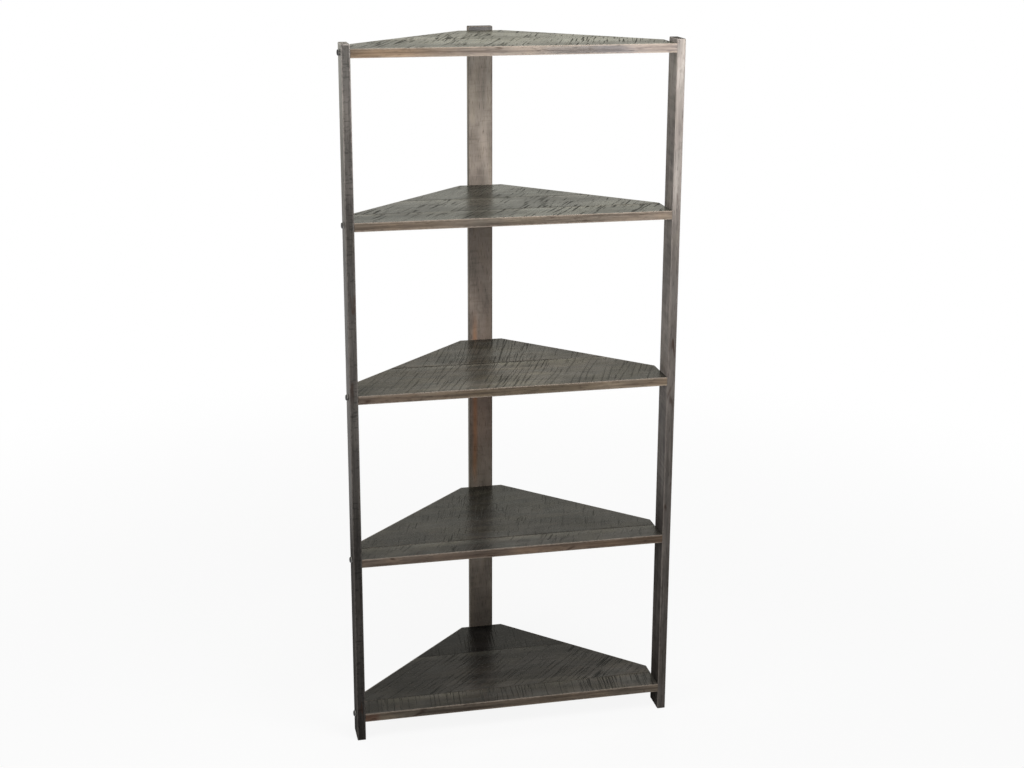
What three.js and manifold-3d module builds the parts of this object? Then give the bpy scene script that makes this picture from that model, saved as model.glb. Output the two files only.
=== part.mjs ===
// A five-shelf corner unit for the corner of a room: three flat board posts carry five shelves, each shelf is
// glued up from boards edge to edge, and every joint is one domed bolt turned into a threaded insert.
// Millimetres. +X runs along the shelves' front edges, +Y goes from the front towards the corner, +Z is up.
// The origin is on the floor, in the middle of the space that the unit takes up.
import * as THREE from "three";
import { mergeVertices } from "three/addons/utils/BufferGeometryUtils.js";
import Module from "manifold-3d";

const wasm = await Module();
wasm.setup();

// Stock: boards for the posts and the shelves, and the soft edge that a sanding block leaves on them
const postThickness = 22.2;
const postWidth = 66.7;
const shelfThickness = 22.2;
const edgeEase = 1.6;

// Shelf plan: a long front edge, two short square ends, two sides that run along the walls, and a short rear cut
const shelfSpan = 808;
const endBehindPost = 45.3;
const rearShoulder = 25.65;

// Heights, from the floor up
const floorGap = 52.8;
const lowerPitch = 441.3;
const lowerPitchCount = 3;
const topPitch = 419.1;
const postStand = 11;

// Glue lines between the boards of each shelf, measured back from its front edge, from the top shelf down
const glueLines = {
  shelf_1: [215],
  shelf_2: [104, 262],
  shelf_3: [222],
  shelf_4: [74],
  shelf_5: [72, 293],
};

// Bolt with a domed head and a hexagon socket
const boltDiameter = 8;
const boltReach = 24;
const boltTipChamfer = 1.2;
const headDiameter = 16.5;
const headHeight = 6.5;
const headRim = 1.2;
const crownLand = 0.8;
const socketAcrossCorners = 5.8;
const socketDepth = 3.4;

// Threaded insert in the shelf, its outer thread drawn as rings
const insertDiameter = 12.6;
const insertThreadDepth = 0.9;
const insertThreadCount = 3;
const insertLength = 24;
const insertRecess = 0.6;

// Clearances, and how far a cutter runs past what it cuts
const boltHoleClearance = 0.5;
const insertClearance = 0.3;
const threadClearance = 0.3;
const insertHoleSpare = 4;
const cutOverrun = 10;

// Facets
const boltSides = 16;
const insertSides = 12;
const domeSteps = 4;
const easeSteps = 2;
const hexagonSides = 6;

// Sizes that follow from the ones above
const rearCut = postWidth + 2 * rearShoulder;
const endDepth = postWidth + endBehindPost;
const shelfDepth = endDepth + (shelfSpan - rearCut) / 2;
const shelfNames = Object.keys(glueLines);
const topShelfFace = floorGap + shelfThickness + lowerPitchCount * lowerPitch + topPitch;
const postHeight = topShelfFace + postStand;
const unitDepth = shelfDepth + postThickness + headHeight;
const boltRadius = boltDiameter / 2;
const headRadius = headDiameter / 2;
const insertRadius = insertDiameter / 2;

const materials = {
  post: { color: 0x4b4541, roughness: 0.42, metalness: 0 },
  shelf: { color: 0x44433e, roughness: 0.36, metalness: 0 },
  bolt: { color: 0x18181a, roughness: 0.35, metalness: 0.9 },
  insert: { color: 0xa8873f, roughness: 0.4, metalness: 1 },
};

// Upper face of each shelf above the floor, top shelf first
function shelfFace(index) {
  return index === 0 ? topShelfFace : topShelfFace - topPitch - (index - 1) * lowerPitch;
}

// Closed geometry to solid and back
function toSolid(geometry) {
  const bare = geometry.clone();
  bare.deleteAttribute("normal");
  bare.deleteAttribute("uv");
  const merged = mergeVertices(bare);
  return new wasm.Manifold(
    new wasm.Mesh({
      numProp: 3,
      vertProperties: merged.attributes.position.array,
      triVerts: new Uint32Array(merged.index.array),
    }),
  );
}

function toGeometry(solid) {
  const mesh = solid.getMesh();
  const geometry = new THREE.BufferGeometry();
  geometry.setAttribute("position", new THREE.BufferAttribute(mesh.vertProperties, mesh.numProp));
  geometry.setIndex(new THREE.BufferAttribute(mesh.triVerts, 1));
  geometry.computeVertexNormals();
  return geometry;
}

function makeMesh(name, geometry, look) {
  const mesh = new THREE.Mesh(geometry, new THREE.MeshStandardMaterial(materials[look]));
  mesh.name = name;
  return mesh;
}

// A board: its outline lies flat and rises to the given thickness, with the edges of both faces eased
function easedBoard(outline, thickness) {
  const board = new THREE.ExtrudeGeometry(outline, {
    depth: thickness - 2 * edgeEase,
    bevelThickness: edgeEase,
    bevelSize: edgeEase,
    bevelOffset: -edgeEase,
    bevelSegments: easeSteps,
    steps: 1,
  });
  board.translate(0, 0, edgeEase);
  return board;
}

// A round bar along X, for drilling, from one x to another
function drillAlongX(radius, fromX, toX, y, z, sides) {
  const length = toX - fromX;
  const bar = new THREE.CylinderGeometry(radius, radius, length, sides);
  bar.rotateZ(Math.PI / 2);
  bar.translate(fromX + length / 2, y, z);
  return toSolid(bar);
}

// Post, drilled for its bolts: the shelves' ends meet its face at x = 0, and its other face is outside
function makePost(name) {
  const half = postWidth / 2;
  const outline = new THREE.Shape();
  outline.moveTo(0, -half);
  outline.lineTo(postHeight, -half);
  outline.lineTo(postHeight, half);
  outline.lineTo(0, half);
  outline.closePath();
  const board = easedBoard(outline, postThickness);
  board.rotateY(-Math.PI / 2);
  board.translate(postThickness, 0, 0);
  let post = toSolid(board);
  shelfNames.forEach((shelf, index) => {
    const z = shelfFace(index) - shelfThickness / 2;
    const radius = boltRadius + boltHoleClearance;
    post = post.subtract(drillAlongX(radius, -cutOverrun, postThickness + cutOverrun, 0, z, boltSides));
  });
  return makeMesh(name, toGeometry(post), "post");
}

// Bolt along X: the underside of its head is at x = postThickness, and its tip points to -X
function makeBoltGeometry() {
  const tip = -boltReach;
  const seat = postThickness;
  const crown = seat + headHeight;
  const socketRadius = socketAcrossCorners / 2;
  const crownRadius = socketRadius + crownLand;
  const profile = [
    new THREE.Vector2(0, tip),
    new THREE.Vector2(boltRadius - boltTipChamfer, tip),
    new THREE.Vector2(boltRadius, tip + boltTipChamfer),
    new THREE.Vector2(boltRadius, seat),
    new THREE.Vector2(headRadius, seat),
  ];
  for (let step = 0; step <= domeSteps; step += 1) {
    const angle = (step / domeSteps) * (Math.PI / 2);
    const radius = crownRadius + (headRadius - crownRadius) * Math.cos(angle);
    const height = headRim + (headHeight - headRim) * Math.sin(angle);
    profile.push(new THREE.Vector2(radius, seat + height));
  }
  profile.push(new THREE.Vector2(0, crown));
  const body = new THREE.LatheGeometry(profile, boltSides);
  body.rotateZ(-Math.PI / 2);
  const socket = drillAlongX(socketRadius, crown - socketDepth, crown + cutOverrun, 0, 0, hexagonSides);
  return toGeometry(toSolid(body).subtract(socket));
}

// Threaded insert along X: a sleeve with a ringed outside, its mouth just inside the shelf's face at x = 0
function makeInsertGeometry() {
  const mouth = -insertRecess;
  const inner = mouth - insertLength;
  const bore = boltRadius + threadClearance;
  const root = insertRadius - insertThreadDepth;
  const pitch = insertLength / (insertThreadCount + 1);
  const profile = [new THREE.Vector2(bore, inner), new THREE.Vector2(root, inner)];
  for (let ring = 1; ring <= insertThreadCount; ring += 1) {
    const crest = inner + ring * pitch;
    profile.push(new THREE.Vector2(root, crest - insertThreadDepth));
    profile.push(new THREE.Vector2(insertRadius, crest));
    profile.push(new THREE.Vector2(root, crest + insertThreadDepth));
  }
  profile.push(new THREE.Vector2(root, mouth), new THREE.Vector2(bore, mouth), new THREE.Vector2(bore, inner));
  const sleeve = new THREE.LatheGeometry(profile, insertSides);
  sleeve.rotateZ(-Math.PI / 2);
  return sleeve;
}

const boltGeometry = makeBoltGeometry();
const insertGeometry = makeInsertGeometry();

// A post with the bolt and the insert of each shelf: +X points out of the unit, and x = 0 is the shelves' ends
function makePostSet(place) {
  const set = new THREE.Group();
  set.add(makePost(`${place}_post`));
  shelfNames.forEach((shelf, index) => {
    const bolt = makeMesh(`${shelf}_${place}_bolt`, boltGeometry, "bolt");
    const insert = makeMesh(`${shelf}_${place}_insert`, insertGeometry, "insert");
    for (const piece of [bolt, insert]) {
      piece.position.z = shelfFace(index) - shelfThickness / 2;
      set.add(piece);
    }
  });
  return set;
}

// Shelf outline, its front edge on y = 0
function shelfOutline() {
  const end = shelfSpan / 2;
  const rear = rearCut / 2;
  const outline = new THREE.Shape();
  outline.moveTo(-end, 0);
  outline.lineTo(end, 0);
  outline.lineTo(end, endDepth);
  outline.lineTo(rear, shelfDepth);
  outline.lineTo(-rear, shelfDepth);
  outline.lineTo(-end, endDepth);
  outline.closePath();
  return outline;
}

// A whole shelf with the blind holes for its three inserts
function makeShelfSolid() {
  const radius = insertRadius + insertClearance;
  const depth = insertRecess + insertLength + insertHoleSpare;
  const end = shelfSpan / 2;
  const z = shelfThickness / 2;
  const y = postWidth / 2;
  const left = drillAlongX(radius, -end - cutOverrun, -end + depth, y, z, insertSides);
  const right = drillAlongX(radius, end - depth, end + cutOverrun, y, z, insertSides);
  const length = depth + cutOverrun;
  const bar = new THREE.CylinderGeometry(radius, radius, length, insertSides);
  bar.translate(0, shelfDepth - depth + length / 2, z);
  const board = toSolid(easedBoard(shelfOutline(), shelfThickness));
  return board.subtract(left).subtract(right).subtract(toSolid(bar));
}

// The part of a shelf between two depths, one board of the glue-up
function sliceShelf(shelf, fromY, toY) {
  const width = shelfSpan + 2 * cutOverrun;
  const height = shelfThickness + 2 * cutOverrun;
  const slab = new THREE.BoxGeometry(width, toY - fromY, height);
  slab.translate(0, (fromY + toY) / 2, shelfThickness / 2);
  return toGeometry(shelf.intersect(toSolid(slab)));
}

function boardName(index, count) {
  if (index === 0) return "front_board";
  return index === count - 1 ? "rear_board" : "middle_board";
}

function makeShelf(name, shelf) {
  const group = new THREE.Group();
  const edges = [-cutOverrun, ...glueLines[name], shelfDepth + cutOverrun];
  const count = edges.length - 1;
  for (let index = 0; index < count; index += 1) {
    const board = sliceShelf(shelf, edges[index], edges[index + 1]);
    group.add(makeMesh(`${name}_${boardName(index, count)}`, board, "shelf"));
  }
  return group;
}

const unit = new THREE.Group();
unit.position.y = -unitDepth / 2;

const postPlaces = [
  { place: "left", x: -shelfSpan / 2, y: postWidth / 2, turn: Math.PI },
  { place: "right", x: shelfSpan / 2, y: postWidth / 2, turn: 0 },
  { place: "rear", x: 0, y: shelfDepth, turn: Math.PI / 2 },
];
for (const { place, x, y, turn } of postPlaces) {
  const set = makePostSet(place);
  set.position.set(x, y, 0);
  set.rotation.z = turn;
  unit.add(set);
}

const shelfSolid = makeShelfSolid();
shelfNames.forEach((name, index) => {
  const shelf = makeShelf(name, shelfSolid);
  shelf.position.z = shelfFace(index) - shelfThickness;
  unit.add(shelf);
});

const corner_shelf_unit = new THREE.Group();
corner_shelf_unit.add(unit);
export default corner_shelf_unit;
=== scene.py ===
import math

import bpy
from mathutils import Matrix, Vector


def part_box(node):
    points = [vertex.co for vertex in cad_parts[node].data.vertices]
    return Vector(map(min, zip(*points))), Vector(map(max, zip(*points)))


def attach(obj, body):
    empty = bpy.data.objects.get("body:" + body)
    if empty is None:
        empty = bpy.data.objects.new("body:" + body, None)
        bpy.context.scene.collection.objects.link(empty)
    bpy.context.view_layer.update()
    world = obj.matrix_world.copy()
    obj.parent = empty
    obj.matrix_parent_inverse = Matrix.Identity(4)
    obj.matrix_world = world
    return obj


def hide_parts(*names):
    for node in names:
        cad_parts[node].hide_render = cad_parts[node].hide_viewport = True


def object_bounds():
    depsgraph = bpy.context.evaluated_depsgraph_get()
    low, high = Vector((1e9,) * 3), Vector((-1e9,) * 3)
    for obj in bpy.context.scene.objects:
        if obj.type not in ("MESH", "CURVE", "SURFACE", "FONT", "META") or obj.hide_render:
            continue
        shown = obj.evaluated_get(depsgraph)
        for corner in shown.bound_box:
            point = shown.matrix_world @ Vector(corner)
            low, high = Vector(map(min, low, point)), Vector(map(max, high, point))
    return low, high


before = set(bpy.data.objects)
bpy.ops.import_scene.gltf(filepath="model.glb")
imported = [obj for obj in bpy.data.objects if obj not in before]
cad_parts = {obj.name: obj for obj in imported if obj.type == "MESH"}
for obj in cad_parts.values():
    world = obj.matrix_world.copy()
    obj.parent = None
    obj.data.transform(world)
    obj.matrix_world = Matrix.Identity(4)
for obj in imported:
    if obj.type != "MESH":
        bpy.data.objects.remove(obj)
cad_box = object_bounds()
FRONT = cad_box[0].y
AXES = (Vector((1, 0, 0)), Vector((0, 1, 0)), Vector((0, 0, 1)))
SIDES = ("left", "right", "rear")
BOLT_AXES = {"left": AXES[0], "right": AXES[0], "rear": AXES[1]}

# the boards of each shelf, from the front edge to the rear cut
BOARDS = {
    1: ("front", "rear"),
    2: ("front", "middle", "rear"),
    3: ("front", "rear"),
    4: ("front", "rear"),
    5: ("front", "middle", "rear"),
}

# sizes, in metres
END_DEPTH = 0.112
EASE = 0.0016
GLUE_CHAMFER = 0.0004
CROSS_CUT_PITCH = 0.026
EDGE_WANDER = 0.0005
WANDER_LENGTH = 0.07
BOLT_HOLE = 0.0085
INSERT_HOLE = 0.0129
INSERT_HOLE_DEPTH = 0.028
ON_PLANE = 1e-5

# how fine the meshes are
EASE_STEPS = 3
HOLE_SIDES = 32
ROUND_SIDES = 48
SMOOTH_ANGLE = math.radians(35)

# modelling helpers


def deselect_all():
    """Nothing stays selected or active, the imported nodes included."""
    if bpy.context.object and bpy.context.object.mode != "OBJECT":
        bpy.ops.object.mode_set(mode="OBJECT")
    bpy.ops.object.select_all(action="DESELECT")
    bpy.context.view_layer.objects.active = None


def choose(piece):
    """The piece alone is selected and active."""
    deselect_all()
    piece.select_set(True)
    bpy.context.view_layer.objects.active = piece


def settle(piece):
    """The piece's place goes into its mesh, and its object sits at the origin."""
    choose(piece)
    bpy.ops.object.transform_apply(location=True, rotation=True, scale=True)


def start_block(name, low, high):
    """A block of stock between two corners, ready to be cut."""
    deselect_all()
    bpy.ops.mesh.primitive_cube_add(size=1, location=(low + high) / 2)
    piece = bpy.context.object
    piece.name = name
    piece.data.name = name
    piece.scale = high - low
    settle(piece)
    return piece


def cut(piece, point, normal, clear=False):
    """One saw cut through the piece. With clear, what lies beyond it falls away."""
    choose(piece)
    bpy.ops.object.mode_set(mode="EDIT")
    bpy.ops.mesh.select_all(action="SELECT")
    bpy.ops.mesh.bisect(
        plane_co=point, plane_no=normal, use_fill=clear, clear_outer=clear
    )
    bpy.ops.object.mode_set(mode="OBJECT")


def cross_cut(piece, low, high, way):
    """Cuts across the board's length, so that its edges have points that can wander."""
    length = high[way] - low[way]
    steps = int(length / CROSS_CUT_PITCH)
    for step in range(1, steps):
        cut(piece, AXES[way] * (low[way] + length * step / steps), AXES[way])


def on_plane(place, plane):
    """Whether a place lies on a (point, normal) plane."""
    point, normal = plane
    return abs((place - point).dot(normal)) < ON_PLANE


def ease_edges(piece, planes, others, offset, steps):
    """Rounds every edge where one of the planes meets another plane of the piece."""
    choose(piece)
    mesh = piece.data
    bpy.ops.object.mode_set(mode="EDIT")
    bpy.ops.mesh.select_all(action="DESELECT")
    bpy.ops.mesh.select_mode(type="EDGE")
    bpy.ops.object.mode_set(mode="OBJECT")
    for edge in mesh.edges:
        ends = [mesh.vertices[index].co for index in edge.vertices]
        own = [p for p in planes if all(on_plane(end, p) for end in ends)]
        near = [p for p in others if all(on_plane(end, p) for end in ends)]
        edge.select = len(own) + len(near) > 1 and bool(own)
    bpy.ops.object.mode_set(mode="EDIT")
    bpy.ops.mesh.bevel(
        offset=offset, segments=steps, profile=0.5, affect="EDGES", clamp_overlap=True
    )
    bpy.ops.object.mode_set(mode="OBJECT")


def apply_modifier(piece, kind, **settings):
    """Adds one modifier with its settings and applies it."""
    choose(piece)
    modifier = piece.modifiers.new(kind.lower(), kind)
    for label, value in settings.items():
        setattr(modifier, label, value)
    bpy.ops.object.modifier_apply(modifier=modifier.name)


def drill(piece, centre, axis, diameter, depth, sides=HOLE_SIDES):
    """Cuts one hole into the piece, centred on the point, along the axis."""
    deselect_all()
    bpy.ops.mesh.primitive_cylinder_add(
        vertices=sides,
        radius=diameter / 2,
        depth=depth,
        location=centre,
        rotation=AXES[2].rotation_difference(axis).to_euler(),
    )
    bit = bpy.context.object
    settle(bit)
    apply_modifier(
        piece, "BOOLEAN", operation="DIFFERENCE", solver="EXACT", object=bit
    )
    bpy.data.objects.remove(bit)


def bolt_centre(number, side):
    """The middle of one bolt's place in the frame."""
    low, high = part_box(f"shelf_{number}_{side}_bolt")
    return (low + high) / 2


wander = bpy.data.textures.new("edge_wander", "CLOUDS")
wander.noise_scale = WANDER_LENGTH
wander.noise_depth = 2


def wear_edges(piece, planes):
    """The rounded edges wander a little inwards, as on hand-worked boards."""
    group = piece.vertex_groups.new(name="rounding")
    off_planes = [
        v.index for v in piece.data.vertices if not any(on_plane(v.co, p) for p in planes)
    ]
    group.add(off_planes, 1, "REPLACE")
    apply_modifier(
        piece,
        "DISPLACE",
        texture=wander,
        texture_coords="LOCAL",
        vertex_group=group.name,
        mid_level=1,
        strength=EDGE_WANDER,
    )
    piece.vertex_groups.remove(piece.vertex_groups["rounding"])


def smooth_rounds(piece):
    """Round parts shade smooth and the wide faces stay flat."""
    choose(piece)
    bpy.ops.object.shade_smooth_by_angle(angle=SMOOTH_ANGLE)
    apply_modifier(piece, "WEIGHTED_NORMAL", keep_sharp=True, weight=80)


def hand_over(piece, node, finish):
    """The piece takes the node's place and its finish."""
    piece.data.materials.clear()
    piece.data.materials.append(finish)
    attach(piece, "root")
    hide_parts(node)


# node helpers

NUMBER = "NodeSocketFloat"
VECTOR = "NodeSocketVector"


def wire(tree, node, wires):
    """Gives a node's inputs their values, or wires them to other nodes' outputs."""
    for socket, value in wires.items():
        if isinstance(value, bpy.types.NodeSocket):
            tree.links.new(value, node.inputs[socket])
        else:
            node.inputs[socket].default_value = value


def put(tree, kind, wires=None, **settings):
    """Adds a node with its settings and its wires."""
    node = tree.nodes.new(kind)
    for label, value in settings.items():
        setattr(node, label, value)
    wire(tree, node, wires or {})
    return node


def calc(tree, operation, *terms, clamp=False):
    """One step of arithmetic on numbers that change over the surface."""
    node = put(
        tree,
        "ShaderNodeMath",
        dict(enumerate(terms)),
        operation=operation,
        use_clamp=clamp,
    )
    return node.outputs[0]


def plus(tree, first, second):
    """The sum of two numbers."""
    return calc(tree, "ADD", first, second)


def minus(tree, first, second):
    """The difference of two numbers."""
    return calc(tree, "SUBTRACT", first, second)


def times(tree, first, second):
    """The product of two numbers."""
    return calc(tree, "MULTIPLY", first, second)


def vector_calc(tree, operation, *terms):
    """One step of arithmetic on vectors. A length or a dot product is a number."""
    wires = dict(enumerate(terms))
    node = put(tree, "ShaderNodeVectorMath", wires, operation=operation)
    return node.outputs["Value" if operation in ("LENGTH", "DOT_PRODUCT") else "Vector"]


def split(tree, vector):
    """The X, Y and Z of a vector."""
    return put(tree, "ShaderNodeSeparateXYZ", {0: vector}).outputs


def join(tree, *parts):
    """A vector from its X, Y and Z."""
    return put(tree, "ShaderNodeCombineXYZ", dict(enumerate(parts))).outputs[0]


def stretch(tree, vector, factors):
    """Scales a vector by three numbers."""
    scaled = [times(tree, part, f) for part, f in zip(split(tree, vector), factors)]
    return join(tree, *scaled)


def ramp(tree, value, low, high, start=0.0, end=1.0):
    """A smooth step from start to end while the value goes from low to high."""
    wires = {"Value": value, 1: low, 2: high, 3: start, 4: end}
    node = put(tree, "ShaderNodeMapRange", wires, interpolation_type="SMOOTHSTEP")
    return node.outputs[0]


def tint(tree, factor, first, second, mode="MIX"):
    """Mixes two colours by a mask."""
    node = put(
        tree,
        "ShaderNodeMix",
        {0: factor, 6: first, 7: second},
        data_type="RGBA",
        blend_type=mode,
        clamp_result=True,
    )
    return node.outputs[2]


def cloud(tree, vector, scale, detail=2.0, roughness=0.5, distortion=0.0):
    """Soft random values. The scale is one number, or three for the three axes."""
    if isinstance(scale, tuple):
        vector = stretch(tree, vector, scale)
        scale = 1.0
    wires = {
        "Vector": vector,
        "Scale": scale,
        "Detail": detail,
        "Roughness": roughness,
        "Distortion": distortion,
    }
    return put(tree, "ShaderNodeTexNoise", wires).outputs["Fac"]


def raised(tree, height, distance, strength=1.0):
    """The surface direction over a relief of the given height pattern."""
    wires = {"Strength": strength, "Distance": distance, "Height": height}
    return put(tree, "ShaderNodeBump", wires).outputs[0]


def new_group(name, inputs, outputs):
    """An empty node group with named inputs at their usual values, and outputs."""
    group = bpy.data.node_groups.new(name, "ShaderNodeTree")
    for label, value in inputs.items():
        kind = VECTOR if isinstance(value, tuple) else NUMBER
        socket = group.interface.new_socket(label, in_out="INPUT", socket_type=kind)
        socket.default_value = value
    for label in outputs:
        group.interface.new_socket(label, in_out="OUTPUT", socket_type=NUMBER)
    given = group.nodes.new("NodeGroupInput").outputs
    result = group.nodes.new("NodeGroupOutput").inputs
    return group, given, result


def place_group(tree, group, wires):
    """Places a shared effect in a material with its own values."""
    return put(tree, "ShaderNodeGroup", wires, node_tree=group).outputs


# shared effects

# how dense the grain's patterns are, along it, across it and through the board
STREAK_DENSITY = (5, 150, 150)
PORE_DENSITY = (45, 900, 900)
FIGURE_DENSITY = (3.5, 22, 22)

# how dense the saw's patterns are, across its strokes, along them and through the
# board: the first two per metre, and the others per stroke
SWAY_DENSITY = (7, 7, 7)
COVER_DENSITY = (11, 5, 30)
WOBBLE_DENSITY = (0.12, 0.4, 1)
LINE_DENSITY = (0.25, 0.9, 1)
KERF_DENSITY = (1.5, 0.6, 1)
SWATH_DENSITY = (0.22, 0.45, 1)

# how far the lines sway, and how fast the growth rings follow each other
SAW_SWAY = 0.006
RING_SWAY = 0.006
HEART_SWAY = 0.012
RING_TURNS = 1900.0

# how dense the unevenness of a worn edge is, and the least width of its band
WEAR_DENSITY = 90.0
LEAST_BAND = 0.0002


def make_saw_marks():
    """Thin dark strokes, fine kerf lines and broad swaths that a coarse saw leaves."""
    group, given, result = new_group(
        "saw_marks",
        {
            "Vector": (0, 0, 0),
            "Turn": 0.0,
            "Spacing": 0.004,
            "Length": 0.1,
            "Cover": 0.3,
            "Lines": 0.3,
            "Bend": 0.1,
            "Seed": 0.0,
        },
        ("Strokes", "Kerfs", "Swaths"),
    )
    turned = put(
        group,
        "ShaderNodeVectorRotate",
        {"Vector": given["Vector"], "Angle": given["Turn"]},
        rotation_type="Z_AXIS",
    ).outputs[0]
    across, along, depth = split(group, turned)
    bow = times(group, times(group, along, along), given["Bend"])
    sway = cloud(group, turned, SWAY_DENSITY, 1.0)
    drift = times(group, minus(group, sway, 0.5), SAW_SWAY)
    shifted = plus(group, plus(group, across, bow), drift)
    column = calc(group, "DIVIDE", shifted, given["Spacing"])
    row = calc(group, "DIVIDE", along, given["Length"])
    layer = plus(group, times(group, depth, 60.0), given["Seed"])
    saw_space = join(group, column, row, layer)

    raw = cloud(group, saw_space, 1.0, 1.0, 0.4)
    patch_space = vector_calc(group, "ADD", turned, given["Seed"])
    patch = cloud(group, patch_space, COVER_DENSITY, 1.5)
    level = plus(group, times(group, patch, 0.42), 0.51)
    limit = minus(group, level, times(group, given["Cover"], 0.3))
    strokes = ramp(group, minus(group, raw, limit), 0.0, 0.06)

    wobble = cloud(group, saw_space, WOBBLE_DENSITY, 1.0)
    phase = plus(group, times(group, column, 0.25), wobble)
    phase = plus(group, phase, wobble)
    beside = calc(group, "PINGPONG", phase, 0.5)
    lines = ramp(group, beside, 0.02, 0.17, 1.0, 0.0)
    lengths = cloud(group, saw_space, LINE_DENSITY, 1.0)
    keep = minus(group, 0.64, times(group, given["Lines"], 0.22))
    kept = ramp(group, minus(group, lengths, keep), 0.0, 0.1)
    lines = times(group, times(group, lines, kept), 0.75)
    group.links.new(calc(group, "MAXIMUM", strokes, lines), result["Strokes"])

    kerfs = cloud(group, saw_space, KERF_DENSITY, 2.0, 0.6)
    group.links.new(ramp(group, kerfs, 0.3, 0.7), result["Kerfs"])
    swaths = cloud(group, saw_space, SWATH_DENSITY)
    group.links.new(ramp(group, swaths, 0.35, 0.65), result["Swaths"])
    return group


def make_wood_grain():
    """Streaks, pores and broad figure along the first axis of the vector."""
    group, given, result = new_group(
        "wood_grain",
        {"Vector": (0, 0, 0), "Figure Scale": 1.0},
        ("Streaks", "Pores", "Figure"),
    )
    vector = given["Vector"]
    streaks = cloud(group, vector, STREAK_DENSITY, 4.0, 0.6, 0.4)
    group.links.new(streaks, result["Streaks"])
    ticks = cloud(group, vector, PORE_DENSITY, 1.0, 0.4)
    group.links.new(ramp(group, ticks, 0.6, 0.75), result["Pores"])
    broad = stretch(group, vector, FIGURE_DENSITY)
    figure = cloud(group, broad, given["Figure Scale"], 3.0, 0.55, 1.6)
    group.links.new(ramp(group, figure, 0.3, 0.7), result["Figure"])
    return group


def make_stain_clouds():
    """Uneven take-up of the stain, in patches, blots, knots and warmer places."""
    group, given, result = new_group(
        "stain_clouds",
        {"Vector": (0, 0, 0)},
        ("Patches", "Blots", "Knots", "Warmth"),
    )
    for label, density, detail, roughness, distortion, low, high in (
        ("Patches", (4, 9, 9), 3.0, 0.55, 0.0, 0.3, 0.72),
        ("Blots", (30, 60, 60), 2.0, 0.5, 0.8, 0.62, 0.78),
        ("Knots", (14, 60, 60), 1.5, 0.5, 0.6, 0.64, 0.74),
        ("Warmth", (9, 26, 26), 2.5, 0.55, 0.5, 0.36, 0.64),
    ):
        pattern = cloud(group, given["Vector"], density, detail, roughness, distortion)
        group.links.new(ramp(group, pattern, low, high), result[label])
    return group


def make_face_masks():
    """Tells the wide sawn faces and the cut ends of a board from its planed edges."""
    group, given, result = new_group(
        "face_masks",
        {"Wide Axis": (0, 0, 1), "Grain Axis": (1, 0, 0)},
        ("Wide Face", "End Face"),
    )
    normal = put(group, "ShaderNodeTexCoord").outputs["Normal"]
    for axis, label in (("Wide Axis", "Wide Face"), ("Grain Axis", "End Face")):
        facing = vector_calc(group, "DOT_PRODUCT", normal, given[axis])
        size = calc(group, "ABSOLUTE", facing)
        group.links.new(ramp(group, size, 0.72, 0.95), result[label])
    return group


def end_with_band(group, given, result, nearest):
    """Turns the distance from an edge into a soft band of uneven width along it."""
    wobble = cloud(group, given["Vector"], WEAR_DENSITY)
    reach = times(group, given["Width"], times(group, wobble, 2.0))
    share = calc(group, "DIVIDE", nearest, calc(group, "MAXIMUM", reach, LEAST_BAND))
    group.links.new(ramp(group, share, 0.0, 1.0, 1.0, 0.0), result["Band"])
    return group


def make_post_edges():
    """A soft band along the edges of a straight board."""
    group, given, result = new_group(
        "post_edges",
        {"Vector": (0, 0, 0), "Centre": (0, 0, 0), "Half Size": (1, 1, 1), "Width": 0.004},
        ("Band",),
    )
    offset = vector_calc(group, "SUBTRACT", given["Vector"], given["Centre"])
    size = vector_calc(group, "ABSOLUTE", offset)
    a, b, c = split(group, vector_calc(group, "SUBTRACT", given["Half Size"], size))
    pairs = [calc(group, "MAXIMUM", *pair) for pair in ((a, b), (b, c), (a, c))]
    nearest = calc(group, "MINIMUM", calc(group, "MINIMUM", *pairs[:2]), pairs[2])
    return end_with_band(group, given, result, nearest)


def make_shelf_edges():
    """A soft band along the outer edges of a shelf, but not at its bolted ends."""
    group, given, result = new_group(
        "shelf_edges",
        {
            "Vector": (0, 0, 0),
            "Middle Height": 1.0,
            "Half Thickness": 0.0111,
            "Front": -0.24285,
            "Rear": 0.214,
            "Slope Sum": 0.27,
            "Width": 0.004,
        },
        ("Band",),
    )
    x, y, z = split(group, given["Vector"])
    side = calc(group, "ABSOLUTE", x)
    to_front = minus(group, y, given["Front"])
    to_rear = minus(group, given["Rear"], y)
    beyond = minus(group, given["Slope Sum"], plus(group, side, y))
    to_slope = times(group, beyond, math.sqrt(0.5))
    rim = calc(group, "MINIMUM", calc(group, "MINIMUM", to_front, to_rear), to_slope)
    height = calc(group, "ABSOLUTE", minus(group, z, given["Middle Height"]))
    face = minus(group, given["Half Thickness"], height)
    nearest = calc(group, "MAXIMUM", rim, face)
    return end_with_band(group, given, result, nearest)


def make_growth_rings():
    """Growth rings on a cut end, round a heart that lies outside the board."""
    group, given, result = new_group(
        "growth_rings",
        {"Vector": (0, 0, 0), "Heart": (0, 0.05, 0.04)},
        ("Rings",),
    )
    away = vector_calc(group, "SUBTRACT", given["Vector"], given["Heart"])
    across = stretch(group, away, (0, 1, 1))
    distance = vector_calc(group, "LENGTH", across)
    sway = times(group, cloud(group, across, 30.0), RING_SWAY)
    turns = times(group, plus(group, distance, sway), RING_TURNS)
    wave = calc(group, "SINE", turns)
    group.links.new(ramp(group, wave, -0.6, 1.0), result["Rings"])
    return group


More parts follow.
